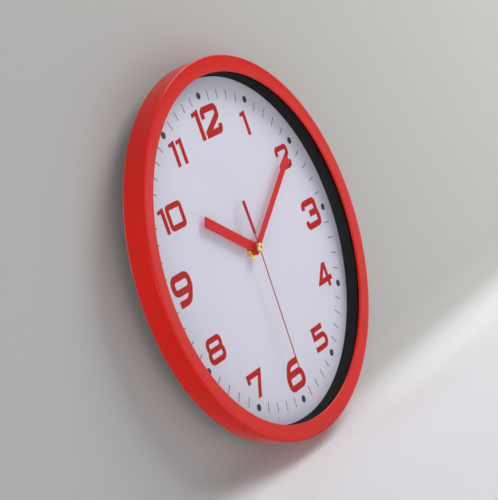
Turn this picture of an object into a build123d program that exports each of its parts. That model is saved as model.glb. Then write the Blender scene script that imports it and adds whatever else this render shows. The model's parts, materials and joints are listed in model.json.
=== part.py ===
from build123d import *
import os
from math import cos, radians, sin

# Round wall clock with a deep case, a sunk dial and a battery quartz movement.
# Millimetres. The origin is on the hand axis, in the plane of the wall.
# +Z points to 12 o'clock, the dial faces -Y and the wall is on the +Y side.
# Every height is measured from the wall towards the viewer, along -Y.

os.makedirs("parts", exist_ok=True)

# ---------------------------------------------------------------- driving dimensions
case_r = 150.0  # outer radius at the front
case_rear_r = 148.7  # outer radius at the rear rim
rear_rim = 12.5  # height of the rear rim above the wall
case_front = 31.6  # height of the front lip
case_bore_r = 146.0  # inside of the case wall
lip_r = 137.0  # inner edge of the front lip
lip_under = 29.5  # height of the face that the lens bears on
lip_edge = 30.3  # height where the inner edge of the lip starts to round

lens_r = 141.0
lens_t = 1.5
ring_flange_t = 1.6
ring_wall_t = 1.6
dial_front = 18.4  # height of the dial's front face
dial_t = 1.0
dial_r = 138.5
dial_visible_r = 136.0
print_t = 0.1  # thickness of the printed layers

screw_count = 6
screw_circle_r = 143.0
screw_start = 30.0  # angle of the first screw
screw_hole_r = 1.35
screw_shank_l = 7.0  # below the cover
boss_r = 3.6
cover_t = 2.0
cover_flange = 13.5  # height of the cover flange's rear face

movement_half = 28.0  # half the side of the square movement
movement_rear = 1.2
movement_split = 9.8  # height where front and rear housing meet
movement_front = 16.6
wall_t = 1.2
battery_z = -19.5
battery_height = 8.5
battery_r = 7.1
bay_top_z = -11.4  # top of the battery bay block

hour_angle = 304.6  # clockwise from 12, as are the two below
minute_angle = 59.0
second_angle = 181.6

# ---------------------------------------------------------------- planes and helpers
SECTION = Plane(origin=(0, 0, 0), x_dir=(1, 0, 0), z_dir=(0, 0, -1))  # x is radius, y is height


def at_height(height, centre=(0, 0)):
    """Plane facing the viewer, at a height above the wall, about a point (x, z)."""
    return Plane(origin=(centre[0], -height, centre[1]), x_dir=(1, 0, 0), z_dir=(0, -1, 0))


def hand_plane(height, clockwise):
    """Plane facing the viewer whose +Y axis points the way a hand does."""
    turn = radians(clockwise)
    return Plane(origin=(0, -height, 0), x_dir=(cos(turn), 0, -sin(turn)), z_dir=(0, -1, 0))


def polar(radius, degrees, centre=(0, 0)):
    """Point (x, z) at a radius and an angle from a centre."""
    turn = radians(degrees)
    return (centre[0] + radius * cos(turn), centre[1] + radius * sin(turn))


def disc(height, thickness, radius, centre=(0, 0), bore=0.0):
    """Add a disc to the part being built, with an optional bore."""
    with BuildSketch(at_height(height, centre)) as outline:
        Circle(radius)
        if bore:
            Circle(bore, mode=Mode.SUBTRACT)
    extrude(outline.sketch, amount=thickness)


def hole(height, depth, radius, centre=(0, 0)):
    """Cut a round hole into the part being built."""
    with BuildSketch(at_height(height, centre)) as outline:
        Circle(radius)
    extrude(outline.sketch, amount=depth, mode=Mode.SUBTRACT)


def save(builder, name):
    builder.part.label = name
    export_step(builder.part, f"parts/{name}.step")


# ---------------------------------------------------------------- gears
tooth_half_pitch = 0.21  # half a tooth's thickness, as a share of the pitch
addendum = 0.62  # tip height above the pitch circle, in modules
dedendum = 1.05  # root depth below the pitch circle, in modules


def gear_teeth(height, thickness, module, teeth, phase, centre=(0, 0), bore=0.0):
    """Add a spur gear with round-topped teeth. One tooth points along the phase angle."""
    pitch_r = module * teeth / 2
    root_r = pitch_r - dedendum * module
    tip_r = pitch_r + addendum * module
    step = 360 / teeth
    half = tooth_half_pitch * step
    with BuildSketch(at_height(height, centre)) as outline:
        with BuildLine():
            for tooth in range(teeth):
                middle = phase + tooth * step
                Line(polar(root_r, middle - half), polar(pitch_r, middle - half))
                ThreePointArc(
                    polar(pitch_r, middle - half),
                    polar(tip_r, middle),
                    polar(pitch_r, middle + half),
                )
                Line(polar(pitch_r, middle + half), polar(root_r, middle + half))
                ThreePointArc(
                    polar(root_r, middle + half),
                    polar(root_r, middle + step / 2),
                    polar(root_r, middle + step - half),
                )
        make_face()
        if bore:
            Circle(bore, mode=Mode.SUBTRACT)
    extrude(outline.sketch, amount=thickness)


def meshing_phase(teeth, phase, direction, mate_teeth):
    """Phase that puts the mate's gap over this gear's tooth on the line of centres."""
    step = 360 / teeth
    offset = (direction - phase) % step
    return direction + 180 + offset * teeth / mate_teeth + 180 / mate_teeth


# Modules and centre distances of the train.
rotor_module = 0.2
seconds_module = 0.22
third_module = 0.25
motion_module = 0.3
rotor_teeth = 10
intermediate_teeth = 60
intermediate_pinion_teeth = 12
seconds_teeth = 60
seconds_pinion_teeth = 8
third_teeth = 60
third_pinion_teeth = 8
centre_teeth = 64
cannon_teeth = 12
minute_teeth = 36
minute_pinion_teeth = 10
hour_teeth = 40
knob_teeth = 12

intermediate_direction = 135.0
rotor_direction = 165.0
third_direction = -15.0
minute_direction = 45.0
knob_direction = 20.0

intermediate_distance = seconds_module * (seconds_teeth + intermediate_pinion_teeth) / 2
rotor_distance = rotor_module * (intermediate_teeth + rotor_teeth) / 2
third_distance = third_module * (third_teeth + seconds_pinion_teeth) / 2
centre_module = 2 * third_distance / (centre_teeth + third_pinion_teeth)
motion_distance = motion_module * (minute_teeth + cannon_teeth) / 2
hour_module = 2 * motion_distance / (hour_teeth + minute_pinion_teeth)

intermediate_at = polar(intermediate_distance, intermediate_direction)
rotor_at = polar(rotor_distance, rotor_direction, intermediate_at)
third_at = polar(third_distance, third_direction)
minute_at = polar(motion_distance, minute_direction)
knob_at = polar(motion_distance, knob_direction, minute_at)

# Radii of the nested arbors and of their running fits.
running = 0.05
arbor_r = 0.55
cannon_tube_r = 1.6
hour_tube_r = 2.5
bushing_r = 4.0
post_r = 0.7
knob_shaft_r = 1.0
pivot_r = 0.4
rotor_pivot_r = 0.3

# Thicknesses of the gears, and the plain arbor of the pivoted wheels.
wheel_t = 0.8
cannon_gear_t = 1.3
shaft_r = 0.5
pivot_l = 0.7  # front pivots in the middle plate

# Heights inside the movement.
rear_wall_front = 2.7
pivot_rear = 1.7
plate_rear = 9.6
plate_front = 10.2
front_wall_rear = 15.2
hour_gear_height = 13.9
minute_gear_height = 12.3
third_boss_height = 12.4

# Heights of the bushing and the hands, given above the dial.
washer_top = dial_front + 0.5
nut_top = dial_front + 2.2
bushing_top = dial_front + 2.5
hour_collar = dial_front + 2.9
hour_blade = dial_front + 3.4
hour_tube_top = dial_front + 4.3
hour_collar_top = dial_front + 4.5
minute_collar = dial_front + 4.8
minute_blade = dial_front + 5.3
minute_tube_top = dial_front + 6.2
minute_collar_top = dial_front + 6.3
second_bush_height = dial_front + 6.6
second_blade = dial_front + 7.3
second_blade_top = dial_front + 7.6
second_arbor_top = dial_front + 7.9
cap_top = dial_front + 8.9
hand_t = 0.5

# ---------------------------------------------------------------- case ring
lens_rear = lip_under - lens_t
ring_flange_rear = lens_rear - ring_flange_t
boss_rear = cover_flange + cover_t
boss_l = ring_flange_rear - boss_rear - 0.2
lip_round = 0.9  # radius at the lip's inner edge
front_round = 3.4  # radius at the front's outer corner
corner_w = 3.5  # how far the outer corner reaches in over the front face
corner_h = 3.1  # and back over the side
rear_round = 0.8
with BuildPart() as case_ring:
    with BuildSketch(SECTION):
        with BuildLine():
            Line((case_rear_r - rear_round, rear_rim), (case_bore_r, rear_rim))
            Line((case_bore_r, rear_rim), (case_bore_r, lip_under))
            Line((case_bore_r, lip_under), (lip_r, lip_under))
            Line((lip_r, lip_under), (lip_r, lip_edge))
            RadiusArc((lip_r, lip_edge), (lip_r + lip_round, lip_edge + 0.8), lip_round)
            Line((lip_r + lip_round, lip_edge + 0.8), (case_r - corner_w, case_front))
            RadiusArc((case_r - corner_w, case_front), (case_r, case_front - corner_h), front_round)
            Line((case_r, case_front - corner_h), (case_rear_r, rear_rim + rear_round))
            RadiusArc(
                (case_rear_r, rear_rim + rear_round), (case_rear_r - rear_round, rear_rim), rear_round)
        make_face()
    revolve(axis=Axis.Y)
    # Screw bosses grow out of the case wall, behind the ring's flange.
    with BuildSketch(at_height(boss_rear)):
        with PolarLocations(screw_circle_r, screw_count, start_angle=screw_start):
            Circle(boss_r)
    extrude(amount=boss_l)
    with BuildSketch(at_height(boss_rear)):
        with PolarLocations(screw_circle_r, screw_count, start_angle=screw_start):
            Circle(screw_hole_r)
    extrude(amount=screw_shank_l + 1.0, mode=Mode.SUBTRACT)
save(case_ring, "case_ring")

# ---------------------------------------------------------------- lens and inner ring
with BuildPart() as lens:
    disc(lens_rear, lens_t, lens_r)
    chamfer(lens.edges(), length=0.3)
save(lens, "lens")

ring_flange_r = case_bore_r - 0.5
with BuildPart() as inner_ring:
    with BuildSketch(SECTION):
        with BuildLine():
            Polyline(
                (dial_visible_r, dial_front),
                (lip_r, lens_rear),
                (ring_flange_r, lens_rear),
                (ring_flange_r, ring_flange_rear),
                (lip_r + ring_wall_t, ring_flange_rear),
                (dial_visible_r + ring_wall_t, dial_front),
                close=True,
            )
        make_face()
    revolve(axis=Axis.Y)
save(inner_ring, "inner_ring")

# ---------------------------------------------------------------- dial and its printing
with BuildPart() as dial:
    disc(dial_front - dial_t, dial_t, dial_r, bore=bushing_r + 0.15)
save(dial, "dial")

dot_circle_r = 123.5
dot_r = 2.8
mark_inner_r = 118.2
mark_outer_r = 126.0
mark_width = 0.7
with BuildPart() as dial_hour_dots:
    with BuildSketch(at_height(dial_front)):
        with PolarLocations(dot_circle_r, 12):
            Circle(dot_r)
    extrude(amount=print_t)
save(dial_hour_dots, "dial_hour_dots")

with BuildPart() as dial_minute_marks:
    with BuildSketch(at_height(dial_front)):
        for minute in range(60):
            if minute % 5:
                with Locations(Rotation(0, 0, 6 * minute)):
                    with Locations(((mark_inner_r + mark_outer_r) / 2, 0)):
                        Rectangle(mark_outer_r - mark_inner_r, mark_width)
    extrude(amount=print_t)
save(dial_minute_marks, "dial_minute_marks")

# Numerals are pen strokes along a centre line, drawn at the size of the large ones and
# cut square at the sides of the digit's cell.
digit_h = 24.2
pen = 5.2
edge = pen / 2
top = digit_h - edge
digit_width = {
    "0": 26.6, "1": 9.9, "2": 24.9, "3": 25.0, "4": 28.6,
    "5": 26.2, "6": 26.4, "7": 27.2, "8": 28.0, "9": 26.4,
}


def digit_rings(digit):
    """Closed loops of a digit: centre-line box (left, low, right, high) and corner radius."""
    right = digit_width[digit] - edge
    rings = {
        "0": [((edge, edge, right, top), 2.6)],
        "6": [((edge, edge, right, 13.2), 4.4)],
        "8": [((edge, edge, right, 12.3), 4.2), ((edge + 0.8, 12.3, right - 0.8, top), 4.0)],
    }
    return rings.get(digit, [])


def digit_strokes(digit):
    """Open centre lines of a digit: points, and a radius for each corner (0 is a mitre)."""
    right = digit_width[digit] - edge
    strokes = {
        "2": [(
            [(edge, 15), (edge, top), (right, top), (right, 14.6), (0.4, edge), (right, edge), (right, 7.6)],
            [2.8, 2.8, 2.8, 0, 2.8],
        )],
        "3": [
            ([(edge, 16.9), (edge, top), (right - 0.9, top), (right - 0.9, 12.4), (9.6, 12.4)], [2.8] * 3),
            ([(9.6, 12.4), (right, 12.4), (right, edge), (edge, edge), (edge, 7.6)], [2.8] * 3),
        ],
        "4": [
            ([(right - 5.2, 0), (right - 5.2, digit_h)], []),
            ([(digit_width[digit], 7.6), (4.6, 7.6), (right - 5.6, top + 2.6)], [0]),
        ],
        "5": [
            ([(22.5, top), (edge + 0.6, top), (edge + 0.6, 11.4)], [0]),
            ([(0.4, 13.6), (right, 13.6), (right, edge), (0, edge)], [5.4, 5.4]),
        ],
        "6": [([(22.2, top), (8.6, top), (edge, 11.6), (edge, 7.0)], [8.0, 5.0])],
        "7": [([(edge, 15.4), (edge, top), (23.6, top), (11.2, -0.9)], [0, 0])],
    }
    return strokes.get(digit, [])


def digit_sketch(digit):
    """Face of one digit in its cell. The nine is the six turned half round."""
    drawn = "6" if digit == "9" else digit
    with BuildSketch() as drawing:
        if digit == "1":
            width = digit_width["1"]
            with BuildLine():
                Polyline(
                    (width - pen, 0), (width, 0), (width, digit_h), (0, digit_h - 1.7),
                    (0, digit_h - 5.0), (width - pen, digit_h - 4.3), close=True,
                )
            make_face()
        for side, mode in ((pen, Mode.ADD), (-pen, Mode.SUBTRACT)):
            for (left, low, right, high), radius in digit_rings(drawn):
                with Locations(((left + right) / 2, (low + high) / 2)):
                    corner = max(radius + side / 2, 0.6)
                    RectangleRounded(right - left + side, high - low + side, corner, mode=mode)
        for points, radii in digit_strokes(drawn):
            with BuildLine():
                if radii:
                    FilletPolyline(*points, radius=radii)
                else:
                    Line(*points)
            trace(line_width=pen)
        Rectangle(digit_width[digit], digit_h, align=Align.MIN, mode=Mode.INTERSECT)
    return drawing.sketch


# Digits, centre (x, z) and height of each numeral.
large = digit_h
small = 20.0
numerals = [
    ("12", (0.2, 102.7), large), ("1", (50.9, 89.7), small), ("2", (89.0, 51.8), small),
    ("3", (102.5, 0.2), large), ("4", (88.9, -49.7), small), ("5", (52.4, -90.6), small),
    ("6", (-0.2, -103.2), large), ("7", (-54.0, -91.2), small), ("8", (-89.5, -50.7), small),
    ("9", (-103.1, 0.2), large), ("10", (-85.9, 50.1), small), ("11", (-51.1, 90.7), small),
]
digit_gap = 2.4

with BuildPart() as dial_numerals:
    with BuildSketch(at_height(dial_front)):
        for digits, centre, height in numerals:
            factor = height / digit_h
            total = sum(digit_width[d] for d in digits) + digit_gap * (len(digits) - 1)
            start = -total / 2
            for digit in digits:
                half_turn = 180 if digit == "9" else 0
                glyph = scale(digit_sketch(digit), by=factor, mode=Mode.PRIVATE)
                x = centre[0] + factor * (start + digit_width[digit] / 2)
                place = Location((x, centre[1]), half_turn)
                corner = Location((-factor * digit_width[digit] / 2, -factor * digit_h / 2))
                with Locations(place * corner):
                    add(glyph)
                start += digit_width[digit] + digit_gap
    extrude(amount=print_t)
save(dial_numerals, "dial_numerals")

# ---------------------------------------------------------------- back cover
cover_r = case_bore_r - 0.4
pan_r = 116.0  # flat that rests on the wall
pan_rim_r = 121.0
pan_wall = 1.2
cover_front = cover_flange + cover_t
dial_rear = dial_front - dial_t
support_r = dial_r - 0.3  # ring that carries the dial's edge
support_t = 2.0
window_half = 30.0
window_low = -36.0
window_corner = 4.0
window_rim_t = 2.0
window_rim_h = 3.0
keyhole_z = 88.0
keyhole_r = 4.5
slot_half = 2.2
slot_top = 97.0
with BuildPart() as back_cover:
    with BuildSketch(SECTION):
        with BuildLine():
            Polyline(
                (0, 0),
                (pan_r, 0),
                (pan_rim_r, cover_flange),
                (cover_r, cover_flange),
                (cover_r, cover_front),
                (support_r, cover_front),
                (support_r, dial_rear),
                (support_r - support_t, dial_rear),
                (support_r - support_t, cover_front),
                (pan_rim_r - pan_wall, cover_front),
                (pan_r - pan_wall, cover_t),
                (0, cover_t),
                close=True,
            )
        make_face()
    revolve(axis=Axis.Y)
    # Window for the movement, with room for a finger below the battery.
    window_at = (0, (window_half + window_low) / 2)
    window_w = 2 * window_half
    window_h = window_half - window_low
    with BuildSketch(at_height(0, window_at)):
        RectangleRounded(window_w, window_h, window_corner)
    extrude(amount=cover_t, mode=Mode.SUBTRACT)
    # A raised rim stiffens the window's edge on the inside.
    with BuildSketch(at_height(cover_t, window_at)):
        RectangleRounded(
            window_w + 2 * window_rim_t, window_h + 2 * window_rim_t, window_corner + window_rim_t)
        RectangleRounded(window_w, window_h, window_corner, mode=Mode.SUBTRACT)
    extrude(amount=window_rim_h)
    # Keyhole: the screw head enters the round hole and the slot slides down over the shank.
    with BuildSketch(at_height(0)):
        with Locations((0, keyhole_z)):
            Circle(keyhole_r)
        with Locations((0, (keyhole_z + slot_top) / 2)):
            Rectangle(2 * slot_half, slot_top - keyhole_z)
        with Locations((0, slot_top)):
            Circle(slot_half)
    extrude(amount=cover_t, mode=Mode.SUBTRACT)
    with BuildSketch(at_height(cover_flange)):
        with PolarLocations(screw_circle_r, screw_count, start_angle=screw_start):
            Circle(screw_hole_r + 0.15)
    extrude(amount=cover_t, mode=Mode.SUBTRACT)
save(back_cover, "back_cover")

head_t = 1.7
head_r = 2.5
recess_l = 3.0  # arms of the cross recess
recess_w = 0.6
recess_depth = 0.9
with BuildPart() as back_cover_screws:
    with BuildSketch(at_height(cover_flange - head_t)):
        with PolarLocations(screw_circle_r, screw_count, start_angle=screw_start):
            Circle(head_r)
    extrude(amount=head_t)
    chamfer(back_cover_screws.faces().sort_by(Axis.Y)[-screw_count:].edges(), length=0.4)
    with BuildSketch(at_height(cover_flange)):
        with PolarLocations(screw_circle_r, screw_count, start_angle=screw_start):
            Circle(screw_hole_r - 0.05)
    extrude(amount=cover_t + screw_shank_l)
    with BuildSketch(at_height(cover_flange - head_t)):
        with PolarLocations(screw_circle_r, screw_count, start_angle=screw_start):
            Rectangle(recess_l, recess_w)
            Rectangle(recess_w, recess_l)
    extrude(amount=recess_depth, mode=Mode.SUBTRACT)
save(back_cover_screws, "back_cover_screws")

# ---------------------------------------------------------------- clamping of the movement
bushing_clearance = 0.1
bushing_washer_r = 7.6
rubber_washer_r = 9.0
with BuildPart() as rubber_washer:
    disc(movement_front, dial_rear - movement_front, rubber_washer_r,
         bore=bushing_r + bushing_clearance)
save(rubber_washer, "rubber_washer")

bushing_flange_r = 5.5
bushing_flange_top = front_wall_rear + 0.8
with BuildPart() as threaded_bushing:
    disc(front_wall_rear, bushing_flange_top - front_wall_rear, bushing_flange_r,
         bore=hour_tube_r + running)
    disc(bushing_flange_top, bushing_top - bushing_flange_top, bushing_r,
         bore=hour_tube_r + running)
    # Thread grooves on the length that the nut can reach.
    with BuildSketch(SECTION):
        with BuildLine():
            groove = dial_front + 0.2
            Polyline(
                (bushing_r + 0.1, groove),
                (bushing_r - 0.25, groove + 0.2),
                (bushing_r + 0.1, groove + 0.4),
                close=True,
            )
        make_face()
    revolve(axis=Axis.Y, mode=Mode.SUBTRACT)
save(threaded_bushing, "threaded_bushing")

with BuildPart() as bushing_washer:
    disc(dial_front, washer_top - dial_front, bushing_washer_r, bore=bushing_r + bushing_clearance)
    chamfer(bushing_washer.faces().sort_by(Axis.Y)[0].edges(), length=0.15)
save(bushing_washer, "bushing_washer")

nut_corner_r = 6.35
with BuildPart() as bushing_nut:
    with BuildSketch(at_height(washer_top)):
        RegularPolygon(nut_corner_r, 6)
        Circle(bushing_r + 0.05, mode=Mode.SUBTRACT)
    extrude(amount=nut_top - washer_top)
    # The front corners are turned off to a cone.
    with BuildSketch(SECTION):
        with BuildLine():
            Polyline(
                (0, washer_top), (nut_corner_r + 0.5, washer_top), (nut_corner_r + 0.5, nut_top - 0.6),
                (nut_corner_r - 0.9, nut_top), (0, nut_top), close=True,
            )
        make_face()
    revolve(axis=Axis.Y, mode=Mode.INTERSECT)
save(bushing_nut, "bushing_nut")

# ---------------------------------------------------------------- motion works
minute_phase = 3.0
cannon_phase = meshing_phase(minute_teeth, minute_phase, minute_direction + 180, cannon_teeth)
knob_phase = meshing_phase(minute_teeth, minute_phase, knob_direction, knob_teeth)
minute_pinion_phase = 0.0
hour_phase = meshing_phase(minute_pinion_teeth, minute_pinion_phase, minute_direction + 180, hour_teeth)

hour_gear_t = 1.0
hour_gear_top = hour_gear_height + hour_gear_t
hour_spacer_r = 3.2
spacer_t = 0.2  # raised ring that spaces a wheel from the one behind it
with BuildPart() as hour_wheel:
    disc(hour_gear_height - spacer_t, spacer_t, hour_spacer_r, bore=cannon_tube_r + running)
    gear_teeth(hour_gear_height, hour_gear_t, hour_module, hour_teeth, hour_phase,
               bore=cannon_tube_r + running)
    disc(hour_gear_top, hour_tube_top - hour_gear_top, hour_tube_r, bore=cannon_tube_r + running)
save(hour_wheel, "hour_wheel")

minute_gear_t = 0.9
minute_pinion_t = 1.6
with BuildPart() as minute_wheel:
    gear_teeth(minute_gear_height, minute_gear_t, motion_module, minute_teeth, minute_phase, minute_at,
               bore=post_r + running)
    gear_teeth(minute_gear_height + minute_gear_t, minute_pinion_t, hour_module, minute_pinion_teeth,
               minute_pinion_phase, minute_at, bore=post_r + running)
save(minute_wheel, "minute_wheel")

cannon_gear_height = 12.1
cannon_gear_top = cannon_gear_height + cannon_gear_t
cannon_foot = plate_rear + 0.1
with BuildPart() as cannon_pinion:
    disc(cannon_foot, cannon_gear_height - cannon_foot, cannon_tube_r, bore=arbor_r + running)
    gear_teeth(cannon_gear_height, cannon_gear_t, motion_module, cannon_teeth, cannon_phase,
               bore=arbor_r + running)
    disc(cannon_gear_top, minute_tube_top - cannon_gear_top, cannon_tube_r, bore=arbor_r + running)
save(cannon_pinion, "cannon_pinion")

knob_pocket_r = 6.0
knob_pocket_floor = 3.2
knob_head_r = 5.0
knob_head_rear = 0.5
knob_head_front = 2.8
knob_flutes = 24
knob_flute_r = 0.4
knob_pivot_r = 0.6
knob_pivot_l = 2.4
knob_slot_l = 7.0
knob_slot_w = 1.0
knob_slot_depth = 0.7
with BuildPart() as setting_knob:
    with BuildSketch(at_height(knob_head_rear, knob_at)):
        Circle(knob_head_r)
        with PolarLocations(knob_head_r + 0.15, knob_flutes):
            Circle(knob_flute_r, mode=Mode.SUBTRACT)
    extrude(amount=knob_head_front - knob_head_rear)
    # Slot across the head.
    with BuildSketch(at_height(knob_head_rear, knob_at)):
        Rectangle(knob_slot_l, knob_slot_w)
    extrude(amount=knob_slot_depth, mode=Mode.SUBTRACT)
    disc(knob_head_front, cannon_gear_height - knob_head_front, knob_shaft_r, knob_at)
    gear_teeth(cannon_gear_height, cannon_gear_t, motion_module, knob_teeth, knob_phase, knob_at)
    disc(cannon_gear_top, knob_pivot_l, knob_pivot_r, knob_at)
save(setting_knob, "setting_knob")

# ---------------------------------------------------------------- running train
seconds_phase = 0.0
seconds_pinion_phase = 0.0
intermediate_phase = 0.0
third_pinion_phase = 0.0
intermediate_pinion_phase = meshing_phase(
    seconds_teeth, seconds_phase, intermediate_direction, intermediate_pinion_teeth)
third_phase = meshing_phase(seconds_pinion_teeth, seconds_pinion_phase, third_direction, third_teeth)
rotor_phase = meshing_phase(intermediate_teeth, intermediate_phase, rotor_direction, rotor_teeth)
centre_phase = meshing_phase(
    third_pinion_teeth, third_pinion_phase, third_direction + 180, centre_teeth)

centre_gear_height = 10.7
web_holes = 4
web_hole_r = 1.3
web_hole_circle_r = 4.9
centre_spacer_r = 2.8
with BuildPart() as centre_wheel:
    gear_teeth(centre_gear_height, wheel_t, centre_module, centre_teeth, centre_phase,
               bore=cannon_tube_r + running)
    disc(centre_gear_height - spacer_t, spacer_t, centre_spacer_r, bore=cannon_tube_r + running)
    # Round holes lighten the web.
    with BuildSketch(at_height(centre_gear_height)):
        with PolarLocations(web_hole_circle_r, web_holes):
            Circle(web_hole_r)
    extrude(amount=wheel_t, mode=Mode.SUBTRACT)
save(centre_wheel, "centre_wheel")

clutch_r = 2.0
clutch_t = 0.25
tongues = 3
tongue_l = 1.6
tongue_w = 0.9
with BuildPart() as clutch_washer:
    with BuildSketch(at_height(centre_gear_height + wheel_t)):
        Circle(clutch_r)
        with PolarLocations(clutch_r + 0.3, tongues):
            Rectangle(tongue_l, tongue_w)
        Circle(cannon_tube_r + running, mode=Mode.SUBTRACT)
    extrude(amount=clutch_t)
save(clutch_washer, "clutch_washer")

arbor_rear = rear_wall_front + 0.2  # where each arbor narrows to its rear pivot
rear_pivot_l = arbor_rear - pivot_rear

third_pinion_height = 10.5
third_pinion_t = 1.2
third_collar_t = 0.4
third_shoulder = third_pinion_height + third_pinion_t + third_collar_t
third_pivot_l = 1.2
third_gear_height = 8.2
third_gear_top = third_gear_height + wheel_t
with BuildPart() as third_wheel:
    disc(pivot_rear, rear_pivot_l, pivot_r, third_at)
    disc(arbor_rear, third_gear_height - arbor_rear, shaft_r, third_at)
    gear_teeth(third_gear_height, wheel_t, third_module, third_teeth, third_phase, third_at)
    disc(third_gear_top, third_pinion_height - third_gear_top, shaft_r, third_at)
    gear_teeth(third_pinion_height, third_pinion_t, centre_module, third_pinion_teeth,
               third_pinion_phase, third_at)
    disc(third_pinion_height + third_pinion_t, third_collar_t, shaft_r, third_at)
    disc(third_shoulder, third_pivot_l, pivot_r, third_at)
save(third_wheel, "third_wheel")

seconds_gear_height = 6.4
seconds_pinion_height = 8.0
seconds_pinion_top = 9.3
with BuildPart() as seconds_wheel:
    disc(pivot_rear, rear_pivot_l, pivot_r)
    disc(arbor_rear, seconds_gear_height - arbor_rear, arbor_r)
    gear_teeth(seconds_gear_height, wheel_t, seconds_module, seconds_teeth, seconds_phase)
    disc(seconds_gear_height + wheel_t, seconds_pinion_height - seconds_gear_height - wheel_t, arbor_r)
    gear_teeth(seconds_pinion_height, seconds_pinion_top - seconds_pinion_height, third_module,
               seconds_pinion_teeth, seconds_pinion_phase)
    disc(seconds_pinion_top, second_arbor_top - seconds_pinion_top, arbor_r)
save(seconds_wheel, "seconds_wheel")

plate_shoulder = plate_rear - 0.2  # where an arbor narrows to its pivot in the middle plate
intermediate_gear_height = 4.6
intermediate_pinion_height = 6.1
intermediate_pinion_top = 7.5
with BuildPart() as intermediate_wheel:
    disc(pivot_rear, rear_pivot_l, pivot_r, intermediate_at)
    disc(arbor_rear, intermediate_gear_height - arbor_rear, shaft_r, intermediate_at)
    gear_teeth(intermediate_gear_height, wheel_t, rotor_module, intermediate_teeth, intermediate_phase,
               intermediate_at)
    disc(intermediate_gear_height + wheel_t,
         intermediate_pinion_height - intermediate_gear_height - wheel_t, shaft_r, intermediate_at)
    gear_teeth(intermediate_pinion_height, intermediate_pinion_top - intermediate_pinion_height,
               seconds_module, intermediate_pinion_teeth, intermediate_pinion_phase, intermediate_at)
    disc(intermediate_pinion_top, plate_shoulder - intermediate_pinion_top, shaft_r, intermediate_at)
    disc(plate_shoulder, pivot_l, pivot_r, intermediate_at)
save(intermediate_wheel, "intermediate_wheel")

rotor_gear_height = 4.4
rotor_gear_top = 5.8
with BuildPart() as rotor_pinion:
    disc(pivot_rear, rear_pivot_l, rotor_pivot_r, rotor_at)
    disc(arbor_rear, rotor_gear_height - arbor_rear, shaft_r, rotor_at)
    gear_teeth(rotor_gear_height, rotor_gear_top - rotor_gear_height, rotor_module, rotor_teeth,
               rotor_phase, rotor_at)
    disc(rotor_gear_top, plate_shoulder - rotor_gear_top, shaft_r, rotor_at)
    disc(plate_shoulder, pivot_l, rotor_pivot_r, rotor_at)
save(rotor_pinion, "rotor_pinion")

magnet_height = 7.2
magnet_t = 2.0
magnet_r = 2.6
with BuildPart() as rotor_magnet:
    disc(magnet_height, magnet_t, magnet_r, rotor_at, bore=shaft_r)
save(rotor_magnet, "rotor_magnet")

# ---------------------------------------------------------------- motor: stator, core and coil
stator_height = 7.9
stator_t = 0.8
stator_arm_w = 2.4
stator_bend_r = 1.5
stator_pole_r = 4.6
stator_bore_r = 3.1
left_bend_z = 9.5  # where each arm turns towards the rotor
right_bend_z = 14.0
core_half = 12.3
core_w = 3.0
core_t = 1.0
coil_centre = (-12.0, 20.5)
left_arm_x = coil_centre[0] - core_half + stator_arm_w / 2
right_arm_x = coil_centre[0] + core_half - stator_arm_w / 2
with BuildPart() as stator:
    with BuildSketch(at_height(stator_height)):
        for arm_x, bend_z in ((left_arm_x, left_bend_z), (right_arm_x, right_bend_z)):
            with BuildLine():
                FilletPolyline((arm_x, coil_centre[1]), (arm_x, bend_z), rotor_at, radius=stator_bend_r)
            trace(line_width=stator_arm_w)
        with Locations(rotor_at):
            Circle(stator_pole_r)
            Circle(stator_bore_r, mode=Mode.SUBTRACT)
    extrude(amount=stator_t)
save(stator, "stator")

core_height = stator_height - core_t
with BuildPart() as coil_core:
    with BuildSketch(at_height(core_height, coil_centre)):
        Rectangle(2 * core_half + 0.4, core_w)
    extrude(amount=core_t)
save(coil_core, "coil_core")


def along_x(x, height=core_height + core_t / 2, z=coil_centre[1]):
    """Plane whose normal is +X, at a point of the coil's axis."""
    return Plane(origin=(x, -height, z), x_dir=(0, -1, 0), z_dir=(1, 0, 0))


spool_half = 9.8
spool_r = 1.95
flange_t = 0.8
flange_side = 8.0
winding_r = 3.6
with BuildPart() as coil_bobbin:
    with BuildSketch(along_x(coil_centre[0] - spool_half)):
        Circle(spool_r)
    extrude(amount=2 * spool_half)
    for flange_x in (coil_centre[0] - spool_half, coil_centre[0] + spool_half - flange_t):
        with BuildSketch(along_x(flange_x)):
            RectangleRounded(flange_side, flange_side, 1.5)
        extrude(amount=flange_t)
    with BuildSketch(along_x(coil_centre[0] - spool_half)):
        Rectangle(core_t + 0.1, core_w + 0.1)
    extrude(amount=2 * spool_half, mode=Mode.SUBTRACT)
save(coil_bobbin, "coil_bobbin")

with BuildPart() as coil_winding:
    with BuildSketch(along_x(coil_centre[0] - spool_half + flange_t)):
        Circle(winding_r)
        Circle(spool_r, mode=Mode.SUBTRACT)
    extrude(amount=2 * (spool_half - flange_t))
save(coil_winding, "coil_winding")

# ---------------------------------------------------------------- circuit
board_height = 3.6
board_t = 1.0
board_at = (15.5, 20.7)
board_w = 21.0
board_h = 10.4
board_front = board_height + board_t
board_holes = ((9.0, 4.0), (9.0, -4.0))
with BuildPart() as circuit_board:
    with BuildSketch(at_height(board_height)):
        with Locations(board_at):
            Rectangle(board_w, board_h)
            with Locations(*board_holes):
                Circle(0.9, mode=Mode.SUBTRACT)
    extrude(amount=board_t)
save(circuit_board, "circuit_board")

chip_at = (10.0, 20.5)
chip_r = 2.8
chip_h = 1.1
with BuildPart() as clock_chip:
    with BuildSketch(at_height(board_front, chip_at)):
        Circle(chip_r)
    extrude(amount=chip_h)
    fillet(clock_chip.faces().sort_by(Axis.Y)[0].edges(), radius=0.8)
save(clock_chip, "clock_chip")

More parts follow.
